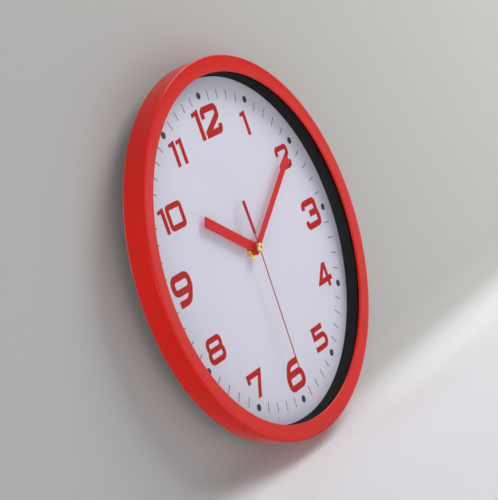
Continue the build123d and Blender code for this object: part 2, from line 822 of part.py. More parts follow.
crystal_r = 1.0
crystal_l = 6.0
crystal_x = 15.5
crystal_z = 22.5
with BuildPart() as quartz_crystal:
    with BuildSketch(along_x(crystal_x, board_front + crystal_r, crystal_z)):
        Circle(crystal_r)
    extrude(amount=crystal_l)
    fillet(quartz_crystal.faces().sort_by(Axis.X)[-1].edges(), radius=0.3)
save(quartz_crystal, "quartz_crystal")

# ---------------------------------------------------------------- movement housing
plate_z = 2.8
plate_h = 25.2
plate_corner = 1.8
third_passage_r = 1.5
with BuildPart() as middle_plate:
    with BuildSketch(at_height(plate_rear)):
        with Locations((0, plate_z)):
            RectangleRounded(2 * (movement_half - wall_t) - 0.4, plate_h, plate_corner)
        Circle(cannon_tube_r + running, mode=Mode.SUBTRACT)
        with Locations(third_at):
            Circle(third_passage_r, mode=Mode.SUBTRACT)
        with Locations(intermediate_at):
            Circle(pivot_r + running, mode=Mode.SUBTRACT)
        with Locations(rotor_at):
            Circle(rotor_pivot_r + running, mode=Mode.SUBTRACT)
        with Locations(knob_at):
            Circle(knob_shaft_r + running, mode=Mode.SUBTRACT)
    extrude(amount=plate_front - plate_rear)
save(middle_plate, "middle_plate")

housing_corner = 2.5
post_places = ((-25.0, 0.0), (25.0, 0.0))  # of the posts that grip the middle plate
plate_post_r = 1.4
minute_post_tip = 12.0
boss_wall = 0.8
gear_box_low = bay_top_z + 0.2
gear_box_height = movement_half - gear_box_low
gear_box_centre = (0, (movement_half + gear_box_low) / 2)
with BuildPart() as movement_front_housing:
    with BuildSketch(at_height(movement_split)):
        with Locations(gear_box_centre):
            RectangleRounded(2 * movement_half, gear_box_height, housing_corner)
    extrude(amount=movement_front - movement_split)
    with BuildSketch(at_height(movement_split)):
        with Locations(gear_box_centre):
            RectangleRounded(
                2 * (movement_half - wall_t), gear_box_height - 2 * wall_t, housing_corner - 1.0)
    extrude(amount=front_wall_rear - movement_split, mode=Mode.SUBTRACT)
    hole(front_wall_rear, 2, bushing_r)
    hole(front_wall_rear, bushing_flange_top - front_wall_rear, bushing_flange_r)
    # Post of the minute wheel, and the boss that carries the third wheel's front pivot.
    disc(minute_post_tip, front_wall_rear - minute_post_tip, post_r, minute_at)
    disc(third_boss_height, front_wall_rear - third_boss_height, pivot_r + boss_wall, third_at)
    hole(third_boss_height, third_pivot_l, pivot_r + running, third_at)
    hole(front_wall_rear, 0.8, knob_pivot_r + running, knob_at)
    # Studs that hold the middle plate down on the rear housing's posts.
    for stud in post_places:
        disc(plate_front, front_wall_rear - plate_front, plate_post_r, stud)
save(movement_front_housing, "movement_front_housing")

bay_half = movement_half - 1.0
bay_channel_r = 7.3
train_low = bay_top_z + 0.8
notch_w = 18.0
notch_reach = 2.0
notch_depth = 7.0
knob_pocket_front = 4.5
bearing_rear = pivot_rear - 0.1
bearing_l = 2.0
board_pads = ((7.0, 24.0), (24.0, 20.7))
board_pad_r = 1.3
core_pad_r = 0.8
core_pad_inset = 0.6
with BuildPart() as movement_rear_housing:
    with BuildSketch(at_height(movement_rear)):
        RectangleRounded(2 * movement_half, 2 * movement_half, housing_corner)
    extrude(amount=movement_split - movement_rear)
    # The battery bay stands as deep as the whole movement.
    with BuildSketch(at_height(movement_split)):
        with Locations((0, (bay_top_z - movement_half) / 2)):
            Rectangle(2 * movement_half, bay_top_z + movement_half)
    extrude(amount=movement_front - movement_split)
    # Space for the train.
    with BuildSketch(at_height(rear_wall_front)):
        with Locations((0, (movement_half - wall_t + train_low) / 2)):
            Rectangle(2 * (movement_half - wall_t), movement_half - wall_t - train_low)
    extrude(amount=movement_split - rear_wall_front, mode=Mode.SUBTRACT)
    # Battery channel: round at the bottom, open to the rear.
    with BuildSketch(at_height(movement_rear)):
        with Locations((0, battery_z)):
            Rectangle(2 * bay_half, 2 * bay_channel_r)
    extrude(amount=battery_height - movement_rear, mode=Mode.SUBTRACT)
    with BuildSketch(along_x(-bay_half, battery_height, battery_z)):
        Circle(bay_channel_r)
    extrude(amount=2 * bay_half, mode=Mode.SUBTRACT)
    # Finger notch through the bay's lower wall.
    with BuildSketch(at_height(movement_rear)):
        with Locations((0, -movement_half)):
            Rectangle(notch_w, 2 * notch_reach)
    extrude(amount=notch_depth, mode=Mode.SUBTRACT)
    # Pocket and bearing of the setting knob.
    disc(rear_wall_front, knob_pocket_front - rear_wall_front, knob_pocket_r + 1.0, knob_at)
    hole(movement_rear, knob_pocket_floor - movement_rear, knob_pocket_r, knob_at)
    hole(knob_pocket_floor, 2.0, knob_shaft_r + running, knob_at)
    # Bearings of the train in the rear wall.
    hole(bearing_rear, bearing_l, rotor_pivot_r + running, rotor_at)
    for pivot_at in ((0, 0), third_at, intermediate_at):
        hole(bearing_rear, bearing_l, pivot_r + running, pivot_at)
    # Posts under the middle plate, and pads under the board and the core.
    for post in post_places:
        disc(rear_wall_front, plate_rear - rear_wall_front, plate_post_r, post)
    for pad in board_pads:
        disc(rear_wall_front, board_height - rear_wall_front, board_pad_r, pad)
    for side in (-1, 1):
        pad = (coil_centre[0] + side * (core_half - core_pad_inset), coil_centre[1])
        disc(rear_wall_front, core_height - rear_wall_front, core_pad_r, pad)
save(movement_rear_housing, "movement_rear_housing")

# ---------------------------------------------------------------- battery and contacts
cell_left = -24.2
cell_shoulder = 24.4
cell_right = 25.9
cell_nub_r = 2.7
cell_base_r = 4.6
cell_base_depth = 0.3
with BuildPart() as battery:
    with BuildSketch(along_x(cell_left, battery_height, battery_z)):
        Circle(battery_r)
    extrude(amount=cell_shoulder - cell_left)
    fillet(battery.edges(), radius=0.6)
    with BuildSketch(along_x(cell_shoulder - 0.1, battery_height, battery_z)):
        Circle(cell_nub_r)
    extrude(amount=cell_right - cell_shoulder + 0.1)
    with BuildSketch(along_x(cell_left, battery_height, battery_z)):
        Circle(cell_base_r)
    extrude(amount=cell_base_depth, mode=Mode.SUBTRACT)
save(battery, "battery")

contact_w = 9.0
contact_h = 11.0
contact_t = 0.4
contact_bump_r = 1.8
with BuildPart() as battery_positive_contact:
    with BuildSketch(along_x(bay_half - contact_t, battery_height, battery_z)):
        RectangleRounded(contact_h, contact_w, 1.0)
    extrude(amount=contact_t)
    with BuildSketch(along_x(bay_half - 2 * contact_t, battery_height, battery_z)):
        Circle(contact_bump_r)
    extrude(amount=contact_t)
save(battery_positive_contact, "battery_positive_contact")

spring_wire_r = 0.3
spring_coils = 4
spring_pitch = 0.48
spring_base_r = 3.6
spring_narrowing = 0.5  # from each coil to the next
with BuildPart() as battery_negative_contact:
    with BuildSketch(along_x(-bay_half, battery_height, battery_z)):
        RectangleRounded(contact_h, contact_w, 1.0)
    extrude(amount=contact_t)
    # Flattened conical spring, as rings that touch each other.
    for coil in range(spring_coils):
        coil_at = (-bay_half + contact_t + 0.25 + spring_pitch * coil, -battery_height, battery_z)
        with BuildSketch(Plane(origin=coil_at, x_dir=(0, -1, 0), z_dir=(0, 0, 1))):
            with Locations((spring_base_r - spring_narrowing * coil, 0)):
                Circle(spring_wire_r)
        revolve(axis=Axis(coil_at, (1, 0, 0)))
save(battery_negative_contact, "battery_negative_contact")

# ---------------------------------------------------------------- hands
hour_hand_w = 8.5
hour_hand_l = 65.0
hour_hub_r = 5.4
hour_collar_r = 4.7
hour_boss_r = 4.0
with BuildPart() as hour_hand:
    with BuildSketch(hand_plane(hour_blade, hour_angle)):
        Circle(hour_hub_r)
        with Locations((0, hour_hand_l / 2)):
            Rectangle(hour_hand_w, hour_hand_l)
        Circle(hour_tube_r, mode=Mode.SUBTRACT)
    extrude(amount=hand_t)
    disc(hour_collar, hour_blade - hour_collar, hour_collar_r, bore=hour_tube_r)
    disc(hour_blade + hand_t, hour_collar_top - hour_blade - hand_t, hour_boss_r, bore=hour_tube_r)
    fillet(hour_hand.faces().sort_by(Axis.Y)[0].edges().sort_by(SortBy.RADIUS)[-1:], radius=0.3)
save(hour_hand, "hour_hand")

minute_hand_w = 5.5
minute_hand_l = 100.0
minute_hub_r = 3.9
minute_collar_r = 3.4
minute_boss_r = 2.9
with BuildPart() as minute_hand:
    with BuildSketch(hand_plane(minute_blade, minute_angle)):
        Circle(minute_hub_r)
        with Locations((0, minute_hand_l / 2)):
            Rectangle(minute_hand_w, minute_hand_l)
        Circle(cannon_tube_r, mode=Mode.SUBTRACT)
    extrude(amount=hand_t)
    disc(minute_collar, minute_blade - minute_collar, minute_collar_r, bore=cannon_tube_r)
    disc(minute_blade + hand_t, minute_collar_top - minute_blade - hand_t, minute_boss_r,
         bore=cannon_tube_r)
save(minute_hand, "minute_hand")

needle_w = 1.2
needle_l = 101.5
tail_neck = 11.0
tail_l = 37.5
tail_w = 4.0
tail_droop = 0.9  # the counterweight bends towards the dial by this much at its end
blade_t = second_blade_top - second_blade
second_hub_r = 2.9
with BuildPart() as second_hand:
    with BuildSketch(hand_plane(second_blade - tail_droop - 1, second_angle)):
        Circle(second_hub_r)
        with Locations((0, (needle_l - tail_neck) / 2)):
            Rectangle(needle_w, needle_l + tail_neck)
        with BuildLine():
            Polyline(
                (-tail_w / 2 + 0.2, -tail_neck), (tail_w / 2 - 0.2, -tail_neck),
                (tail_w / 2, -tail_l), (-tail_w / 2, -tail_l), close=True,
            )
        make_face()
        Circle(arbor_r, mode=Mode.SUBTRACT)
    extrude(amount=tail_droop + blade_t + 2)
    # Side view of the strip: flat needle, then the bent tail.
    side = hand_plane(second_blade, second_angle)
    with BuildSketch(Plane(origin=side.origin, x_dir=side.y_dir, z_dir=side.x_dir)):
        with BuildLine():
            Polyline(
                (needle_l + 1, 0), (needle_l + 1, blade_t), (-tail_neck, blade_t),
                (-tail_l - 1, blade_t - tail_droop), (-tail_l - 1, -tail_droop), (-tail_neck, 0),
                close=True,
            )
        make_face()
    extrude(amount=5, both=True, mode=Mode.INTERSECT)
save(second_hand, "second_hand")

second_bush_r = 3.1
with BuildPart() as second_hand_bush:
    disc(second_bush_height, second_blade - second_bush_height, second_bush_r, bore=arbor_r)
save(second_hand_bush, "second_hand_bush")

cap_r = 3.35
cap_recess_r = 1.0
cap_recess_depth = 0.8
with BuildPart() as second_hand_cap:
    disc(second_blade_top, cap_top - second_blade_top, cap_r)
    fillet(second_hand_cap.faces().sort_by(Axis.Y)[0].edges(), radius=0.8)
    hole(second_blade_top, second_arbor_top - second_blade_top, arbor_r)
    hole(cap_top - cap_recess_depth, cap_recess_depth + 1, cap_recess_r)
save(second_hand_cap, "second_hand_cap")
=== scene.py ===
"""Looks of the wall clock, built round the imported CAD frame.

Metres, +Z to 12 o'clock, the dial faces -Y and the wall is at y = 0. A height is a distance
from the wall towards the viewer, so it runs along -Y. Profiles of turned pieces are given in
millimetres, and so are the values that they are made of.
"""

import json
from math import asin, cos, pi, radians, sin, sqrt, tan

import bmesh
import bpy
from mathutils import Matrix, Vector


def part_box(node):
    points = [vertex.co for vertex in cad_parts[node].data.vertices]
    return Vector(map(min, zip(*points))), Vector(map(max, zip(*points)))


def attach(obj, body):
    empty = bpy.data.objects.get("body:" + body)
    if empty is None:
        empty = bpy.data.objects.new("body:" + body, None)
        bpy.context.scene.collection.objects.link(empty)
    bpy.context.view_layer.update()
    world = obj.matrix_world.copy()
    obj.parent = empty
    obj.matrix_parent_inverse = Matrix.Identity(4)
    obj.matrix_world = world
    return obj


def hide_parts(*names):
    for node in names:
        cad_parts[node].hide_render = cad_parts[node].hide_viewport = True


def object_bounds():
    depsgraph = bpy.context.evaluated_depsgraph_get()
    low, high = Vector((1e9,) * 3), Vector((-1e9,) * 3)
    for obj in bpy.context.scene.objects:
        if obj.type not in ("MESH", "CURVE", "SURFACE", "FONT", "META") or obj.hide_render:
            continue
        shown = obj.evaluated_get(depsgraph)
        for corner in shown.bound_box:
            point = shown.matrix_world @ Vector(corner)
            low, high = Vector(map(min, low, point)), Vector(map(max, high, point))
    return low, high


MM = 0.001

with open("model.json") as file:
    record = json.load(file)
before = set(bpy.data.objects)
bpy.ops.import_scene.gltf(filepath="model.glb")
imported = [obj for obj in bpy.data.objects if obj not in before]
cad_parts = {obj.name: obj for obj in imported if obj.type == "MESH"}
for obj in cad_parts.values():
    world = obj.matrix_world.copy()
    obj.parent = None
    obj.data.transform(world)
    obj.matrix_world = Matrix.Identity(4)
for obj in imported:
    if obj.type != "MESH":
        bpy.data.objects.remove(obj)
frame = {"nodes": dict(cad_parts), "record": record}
cad_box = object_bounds()
scene = bpy.context.scene


# ------------------------------------------------------------------ sizes read from the frame
def heights(node):
    """Rear and front height of a node above the wall, in millimetres."""
    low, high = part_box(node)
    return -high.y / MM, -low.y / MM


def radius(node):
    """Outer radius of a round node, in millimetres."""
    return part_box(node)[1].x / MM


def off_axis(point):
    return sqrt(point.x**2 + point.z**2)


def reach(node):
    """Largest distance of a node's vertices from the hand axis."""
    return max(off_axis(v.co) for v in frame["nodes"][node].data.vertices)


def heading(node):
    """Clockwise angle from 12 o'clock of the end of a hand that lies farthest out."""
    tip_depth = 0.3 * MM
    far = reach(node) - tip_depth
    tips = [v.co for v in frame["nodes"][node].data.vertices if off_axis(v.co) > far]
    tip = sum(tips, Vector()) / len(tips)
    return Vector((tip.z, tip.x)).angle_signed(Vector((1, 0)))


# ------------------------------------------------------------------ mesh helpers
SEGMENTS = 288
SHARP = radians(32)


def rounded(corners, steps=5):
    """Closed outline through corners (x, y, radius), with each corner turned into an arc."""
    outline = []
    for index, (x, y, corner_radius) in enumerate(corners):
        here = Vector((x, y))
        if corner_radius == 0:
            outline.append(here)
            continue
        before = Vector(corners[index - 1][:2]) - here
        after = Vector(corners[(index + 1) % len(corners)][:2]) - here
        room = 0.49 * min(before.length, after.length)
        back = min(corner_radius / tan(before.angle(after) / 2), room)
        start = here + before.normalized() * back
        end = here + after.normalized() * back
        for step in range(steps + 1):
            t = step / steps
            outline.append(start.lerp(here, t).lerp(here.lerp(end, t), t))
    return outline


def in_metres(corners):
    return [tuple(v * MM for v in corner) for corner in corners]


def round_the_axis(x, height, turn):
    return Vector((x * sin(turn), -height, x * cos(turn)))


def finish_mesh(bm, name):
    """Turn a bmesh into an object with smooth faces and sharp folds."""
    bmesh.ops.remove_doubles(bm, verts=bm.verts, dist=1e-6)
    bmesh.ops.recalc_face_normals(bm, faces=bm.faces)
    mesh = bpy.data.meshes.new(name)
    bm.to_mesh(mesh)
    bm.free()
    return link_smooth(mesh, name)


def link_smooth(mesh, name):
    mesh.shade_smooth()
    mesh.set_sharp_from_angle(angle=SHARP)
    made = bpy.data.objects.new(name, mesh)
    scene.collection.objects.link(made)
    return made


def join_rings(bm, lower, upper):
    """Faces between two closed rings of as many vertices."""
    for i in range(len(lower)):
        j = (i + 1) % len(lower)
        bm.faces.new((lower[i], lower[j], upper[j], upper[i]))


def revolve(bm, outline, place=round_the_axis, segments=SEGMENTS):
    """Add the surface swept by a closed outline of (radius, height) points."""
    rings = []
    for step in range(segments):
        turn = 2 * pi * step / segments
        rings.append([bm.verts.new(place(p.x, p.y, turn)) for p in outline])
    for step, ring in enumerate(rings):
        following = rings[(step + 1) % segments]
        for i in range(len(outline)):
            j = (i + 1) % len(outline)
            if outline[i].x < 1e-9 and outline[j].x < 1e-9:
                continue
            bm.faces.new((ring[i], ring[j], following[j], following[i]))


def lathe(name, corners, **options):
    """Turned piece from corners (radius, height, corner radius), all in millimetres."""
    bm = bmesh.new()
    revolve(bm, rounded(in_metres(corners)), **options)
    return finish_mesh(bm, name)


def extrude(bm, outline, low, high, turn=0.0, bend=None):
    """Add a plate with a closed outline of (across, along) points between two heights."""
    layers = []
    for height in (low, high):
        layer = []
        for p in outline:
            shift = bend(p.y) if bend else 0.0
            x = p.x * cos(turn) + p.y * sin(turn)
            z = -p.x * sin(turn) + p.y * cos(turn)
            layer.append(bm.verts.new((x, -(height - shift), z)))
        layers.append(layer)
        bm.faces.new(layer)
    join_rings(bm, *layers)


def soften(piece, width, segments=3):
    """Round the folds of a piece."""
    bevel = piece.modifiers.new("soft_edges", "BEVEL")
    bevel.width = width
    bevel.segments = segments
    bevel.limit_method = "ANGLE"
    bevel.angle_limit = SHARP
    bevel.harden_normals = True


def fit(piece, body, slot, *nodes):
    """Give a piece its body, its finish and the CAD nodes that it stands for."""
    piece.data.materials.append(finishes[slot])
    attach(piece, body)
    if nodes:
        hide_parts(*nodes)
    return piece


# ------------------------------------------------------------------ material helpers
def plug(tree, socket, value):
    """Link a socket to another one, or set its value."""
    if isinstance(value, bpy.types.NodeSocket):
        tree.links.new(value, socket)
    else:
        socket.default_value = value


def node(tree, kind, settings=None, **inputs):
    """Add a shader node. An input's name is written with _ for its spaces."""
    made = tree.nodes.new(kind)
    for key, value in (settings or {}).items():
        setattr(made, key, value)
    for key, value in inputs.items():
        plug(tree, made.inputs[key.replace("_", " ")], value)
    return made


def calculate(tree, operation, *values):
    made = node(tree, "ShaderNodeMath", {"operation": operation})
    for socket, value in zip(made.inputs, values):
        plug(tree, socket, value)
    return made.outputs[0]


def vector_value(tree, operation, *vectors):
    """Single number worked out from one or two vectors."""
    made = node(tree, "ShaderNodeVectorMath", {"operation": operation})
    for socket, value in zip(made.inputs, vectors):
        plug(tree, socket, value)
    return made.outputs["Value"]


def noise(tree, where, size, detail=3.0, roughness=0.5):
    """Noise whose features are about size metres across."""
    return node(tree, "ShaderNodeTexNoise", Vector=where, Scale=1 / size, Detail=detail,
                Roughness=roughness).outputs["Fac"]


def spread(tree, value, low, high, start=0.3, end=0.7):
    """Map a value from start..end to low..high."""
    return node(tree, "ShaderNodeMapRange", Value=value, From_Min=start, From_Max=end,
                To_Min=low, To_Max=high).outputs["Result"]


def blend_colour(tree, fac, low, high):
    mix = node(tree, "ShaderNodeMix", {"data_type": "RGBA"})
    for socket, value in ((mix.inputs[0], fac), (mix.inputs[6], low), (mix.inputs[7], high)):
        plug(tree, socket, (*value, 1.0) if isinstance(value, tuple) else value)
    return mix.outputs[2]


def scaled(colour, factor):
    return tuple(min(channel * factor, 1.0) for channel in colour)


def relief(tree, height, depth, normal):
    return node(tree, "ShaderNodeBump", Strength=1.0, Distance=depth, Height=height,
                Normal=normal).outputs["Normal"]


def new_tree(name):
    """Empty node material, with the coordinates that its textures use."""
    material = bpy.data.materials.new(name)
    material.use_nodes = True
    tree = material.node_tree
    tree.nodes.clear()
    return material, tree, node(tree, "ShaderNodeTexCoord").outputs["Object"]


def show(tree, shader):
    tree.links.new(shader.outputs[0], node(tree, "ShaderNodeOutputMaterial").inputs["Surface"])


def surface(
    name, colour, roughness, *, paint=None, metallic=0.0, coat=0.0, coat_roughness=0.1, ior=1.5,
    patch=0.02, mottle=0.06, rough_spread=0.05, grain=0.0004, grain_depth=0.000004,
    pattern=None, pattern_depth=0.0, edge=0.0003, wear_and_highlight=0.25, wear_and_highlight_colour=None, sheen=0.0,
):
    """Surface with mottled colour, grain in its gloss and relief, and rubbed edges; on the hands'
    red the paler edges are partly a painted highlight.
    """
    material, tree, where = new_tree(name)
    patches = noise(tree, where, patch, detail=4.0)
    fine = noise(tree, where, grain, detail=2.0, roughness=0.6)

    # The rounded normal leaves the plain one near an edge, and that is where the surface takes
    # its worn colour, which on the hands' red is partly a painted highlight.
    bevel = node(tree, "ShaderNodeBevel", {"samples": 4}, Radius=edge).outputs["Normal"]
    plain = node(tree, "ShaderNodeNewGeometry").outputs["Normal"]
    facing = vector_value(tree, "DOT_PRODUCT", bevel, plain)
    on_edge = spread(tree, facing, 1.0, 0.0, start=0.82, end=0.998)
    rub_and_highlight = spread(tree, noise(tree, where, 0.003, detail=5.0), 0.0, wear_and_highlight, start=0.35, end=0.75)
    worn_and_highlit = calculate(tree, "MULTIPLY", on_edge, rub_and_highlight)

    base = blend_colour(tree, spread(tree, patches, 0.0, 1.0), scaled(colour, 1 - mottle),
                        scaled(colour, 1 + mottle))
    if paint is not None:
        base = paint(tree, where, base)
    tone = blend_colour(tree, worn_and_highlit, base, wear_and_highlight_colour or scaled(colour, 1.5))
    gloss_map = calculate(
        tree, "ADD", spread(tree, fine, roughness - rough_spread, roughness + rough_spread),
        spread(tree, patches, -rough_spread / 2, rough_spread / 2))

    normal = relief(tree, fine, grain_depth, bevel)
    if pattern is not None:
        normal = relief(tree, pattern(tree, where), pattern_depth, normal)
    show(tree, node(
        tree, "ShaderNodeBsdfPrincipled", Base_Color=tone, Normal=normal, Roughness=gloss_map,
        Metallic=metallic, IOR=ior, Coat_Weight=coat, Coat_Roughness=coat_roughness,
        Sheen_Weight=sheen))
    return material


def wave(settings, pitch, distortion, detail):
    """Even waves, pitch metres apart."""
    def pattern(tree, where):
        return node(tree, "ShaderNodeTexWave", {**settings, "wave_profile": "SIN"}, Vector=where,
                    Scale=0.05 / pitch, Distortion=distortion, Detail=detail,
                    Detail_Scale=detail).outputs["Fac"]
    return pattern


def turned(pitch):
    """Fine rings round the hand axis, as a lathe tool leaves them."""
    return wave({"wave_type": "RINGS", "rings_direction": "Y"}, pitch, 0.4, 2.0)


def banded(pitch):
    """Straight bands, as of wire laid side by side."""
    return wave({"wave_type": "BANDS", "bands_direction": "X"}, pitch, 0.15, 1.0)


def spark_eroded(size):
    """Rounded cells, as a spark-eroded mould leaves on plastic."""
    def pattern(tree, where):
        return node(tree, "ShaderNodeTexVoronoi", {"feature": "SMOOTH_F1"}, Vector=where,
                    Scale=1 / size, Smoothness=0.6).outputs["Distance"]
    return pattern


def streaked(size, stretch):
    """Noise drawn out along one direction, as brushing or rolling leaves it."""
    def pattern(tree, where):
        mapped = node(tree, "ShaderNodeMapping", Vector=where, Scale=stretch).outputs["Vector"]
        return noise(tree, mapped, size, detail=4.0, roughness=0.65)
    return pattern


def painted_recess_shade(tree, where, base):
    """Painted shade in the small recess of the cap, round the hand axis."""
    recess_r = 1.02 * MM
    along = node(tree, "ShaderNodeSeparateXYZ", Vector=where).outputs
    across = node(tree, "ShaderNodeCombineXYZ", X=along["X"], Z=along["Z"]).outputs[0]
    inside = calculate(tree, "LESS_THAN", vector_value(tree, "LENGTH", across), recess_r)
    return blend_colour(tree, inside, base, (0.06, 0.04, 0.015))


def sleeve_bands(tree, where, base):
    """Copper-coloured band near the positive end of a cell, and its bare steel ends."""
    copper_from, nub_from, foot_to = 11 * MM, 23.9 * MM, -23.7 * MM
    x = node(tree, "ShaderNodeSeparateXYZ", Vector=where).outputs["X"]
    copper = calculate(tree, "GREATER_THAN", x, copper_from)
    nub = calculate(tree, "GREATER_THAN", x, nub_from)
    foot = calculate(tree, "LESS_THAN", x, foot_to)
    banded_base = blend_colour(tree, copper, base, (0.50, 0.24, 0.09))
    return blend_colour(tree, calculate(tree, "MAXIMUM", nub, foot), banded_base,
                        (0.45, 0.45, 0.46))


# ------------------------------------------------------------------ finishes, one for each slot
PLASTICS = {
    "case_red": dict(
        colour=(0.72, 0.011, 0.005), roughness=0.35, coat=0.22, coat_roughness=0.05, ior=1.22,
        patch=0.06, mottle=0.03, grain=0.0011, grain_depth=0.000012, wear_and_highlight=0.35, edge=0.0006,
        wear_and_highlight_colour=(0.85, 0.07, 0.05)),
    "ring_black": dict(
        colour=(0.002, 0.002, 0.003), roughness=0.75, ior=1.12, patch=0.03, mottle=0.15,
        grain=0.0003, pattern=spark_eroded(0.0005), pattern_depth=0.000012, wear_and_highlight=0.1,
        wear_and_highlight_colour=(0.03, 0.03, 0.035)),
    "cover_plastic": dict(
        colour=(0.075, 0.076, 0.080), roughness=0.50, patch=0.05, mottle=0.12, grain=0.0003,
        pattern=spark_eroded(0.0007), pattern_depth=0.00003, wear_and_highlight=0.5,
        wear_and_highlight_colour=(0.22, 0.22, 0.225)),
    "housing_plastic": dict(
        colour=(0.020, 0.020, 0.022), roughness=0.42, patch=0.02, mottle=0.15,
        pattern=spark_eroded(0.0004), pattern_depth=0.00001, wear_and_highlight=0.5,
        wear_and_highlight_colour=(0.09, 0.09, 0.095)),
    "plate_plastic": dict(
        colour=(0.62, 0.60, 0.54), roughness=0.45, patch=0.01, mottle=0.05, wear_and_highlight=0.2),
    "gear_plastic": dict(
        colour=(0.74, 0.73, 0.68), roughness=0.4, patch=0.006, mottle=0.04, sheen=0.05,
        pattern=turned(0.0002), pattern_depth=0.000002, wear_and_highlight=0.2),
    "knob_plastic": dict(
        colour=(0.70, 0.70, 0.68), roughness=0.4, patch=0.004, mottle=0.05, wear_and_highlight=0.6,
        wear_and_highlight_colour=(0.42, 0.41, 0.39)),
    "bobbin_plastic": dict(
        colour=(0.60, 0.57, 0.46), roughness=0.48, patch=0.006, mottle=0.06),
    "rubber_black": dict(
        colour=(0.018, 0.018, 0.018), roughness=0.8, patch=0.004, mottle=0.2, grain=0.0002,
        grain_depth=0.00001, sheen=0.2),
    "chip_black": dict(
        colour=(0.012, 0.012, 0.013), roughness=0.32, patch=0.002, mottle=0.2, grain=0.0004),
    "board_green": dict(
        colour=(0.03, 0.16, 0.055), roughness=0.3, coat=0.3, patch=0.004, mottle=0.2,
        pattern=streaked(0.0012, (1.0, 1.0, 0.2)), pattern_depth=0.00002),
}

PRINTED = {
    "dial_grey": dict(
        colour=(0.80, 0.78, 0.90), roughness=0.62, patch=0.05, mottle=0.012, grain=0.00025,
        grain_depth=0.000006, pattern=streaked(0.0006, (1.0, 1.0, 0.35)),
        pattern_depth=0.000003, wear_and_highlight=0.0),
    "numeral_red": dict(
        colour=(0.56, 0.008, 0.006), roughness=0.6, ior=1.2, patch=0.008, mottle=0.05,
        grain=0.0002, grain_depth=0.000005, wear_and_highlight=0.1),
    "dot_ink": dict(
        colour=(0.022, 0.024, 0.040), roughness=0.55, patch=0.002, mottle=0.15, grain=0.0002),
    "mark_ink": dict(
        colour=(0.10, 0.098, 0.13), roughness=0.55, patch=0.003, mottle=0.12, grain=0.0002),
    "cell_sleeve": dict(
        colour=(0.030, 0.032, 0.036), roughness=0.28, paint=sleeve_bands, coat=0.6,
        coat_roughness=0.08, patch=0.01, mottle=0.1, pattern=streaked(0.001, (0.1, 1.0, 1.0)),
        pattern_depth=0.000004, wear_and_highlight=0.5, wear_and_highlight_colour=(0.4, 0.4, 0.4)),
}

METALS = {
    # The hands' paler edges are partly rubbed paint and partly a painted highlight along the
    # collars and blades.
    "hand_red": dict(
        colour=(0.74, 0.008, 0.007), roughness=0.36, coat=0.05, coat_roughness=0.06, ior=1.2,
        patch=0.008, mottle=0.04, grain=0.0005, grain_depth=0.000006, wear_and_highlight=0.7, edge=0.0003,
        wear_and_highlight_colour=(0.88, 0.26, 0.22)),
    "second_red": dict(
        colour=(0.50, 0.007, 0.011), roughness=0.4, coat=0.04, coat_roughness=0.15, ior=1.2,
        patch=0.006, mottle=0.06, grain=0.0003, wear_and_highlight=0.3, edge=0.00008),
    "brass": dict(
        # The cap's recess gets painted shade, darker than the brass round it.
        colour=(0.90, 0.74, 0.22), roughness=0.22, paint=painted_recess_shade, metallic=1.0, patch=0.003,
        mottle=0.08, pattern=turned(0.00012), pattern_depth=0.0000035, wear_and_highlight=0.5,
        wear_and_highlight_colour=(0.95, 0.80, 0.42), edge=0.0001),
    "screw_steel": dict(
        colour=(0.52, 0.52, 0.53), roughness=0.34, metallic=1.0, patch=0.002, mottle=0.12,
        grain=0.0003, wear_and_highlight=0.5, wear_and_highlight_colour=(0.75, 0.75, 0.76), edge=0.00012),
    "steel": dict(
        colour=(0.42, 0.42, 0.43), roughness=0.4, metallic=1.0, patch=0.003, mottle=0.1,
        pattern=streaked(0.0004, (0.08, 1.0, 1.0)), pattern_depth=0.000004),
    "crystal_can": dict(
        colour=(0.66, 0.66, 0.68), roughness=0.25, metallic=1.0, patch=0.002, mottle=0.06,
        pattern=streaked(0.0004, (0.08, 1.0, 1.0)), pattern_depth=0.000002),
    "contact_metal": dict(
        colour=(0.66, 0.66, 0.67), roughness=0.24, metallic=1.0, patch=0.002, mottle=0.07,
        grain=0.0002, wear_and_highlight=0.4, edge=0.00008),
    "copper": dict(
        colour=(0.72, 0.26, 0.10), roughness=0.3, metallic=1.0, patch=0.003, mottle=0.1,
        pattern=banded(0.00022), pattern_depth=0.00006, wear_and_highlight=0.0),
    "magnet": dict(
        colour=(0.05, 0.05, 0.055), roughness=0.45, metallic=0.7, patch=0.001, mottle=0.2,
        grain=0.0001, grain_depth=0.00001),
}


def glass(name):
    """Clear pane: nearly invisible but for its gloss, which is faintly smeared."""
    material, tree, where = new_tree(name)
    smear = noise(tree, where, 0.03, detail=5.0)
    ripple = node(tree, "ShaderNodeBump", Strength=1.0, Distance=0.000003,
                  Height=noise(tree, where, 0.02)).outputs["Normal"]
    tint = blend_colour(tree, smear, (0.20, 0.21, 0.22), (0.28, 0.29, 0.30))
    show(tree, node(tree, "ShaderNodeBsdfPrincipled", Base_Color=tint, Alpha=0.025, IOR=1.45,
                    Roughness=spread(tree, smear, 0.03, 0.08), Normal=ripple))
    return material


finishes = {name: surface(name, **settings)
            for name, settings in {**PLASTICS, **PRINTED, **METALS}.items()}
finishes["lens_clear"] = glass("lens_clear")
slot_of = {part["node"]: part["material_slot"] for part in frame["record"]["subparts"]}
for name, cad in frame["nodes"].items():
    cad.data.materials.clear()
    cad.data.materials.append(finishes[slot_of[name]])
    for polygon in cad.data.polygons:
        polygon.material_index = 0


# ------------------------------------------------------------------ case, inner ring, lens, dial
case_rear, case_front = heights("case_ring")
case_r = radius("case_ring")
lens_rear, lens_front = heights("lens")
lens_r = radius("lens")
ring_front = heights("inner_ring")[1]
ring_flange_r = radius("inner_ring")
dial_rear, dial_front = heights("dial")
dial_r = radius("dial")
cover_front = heights("back_cover")[1]

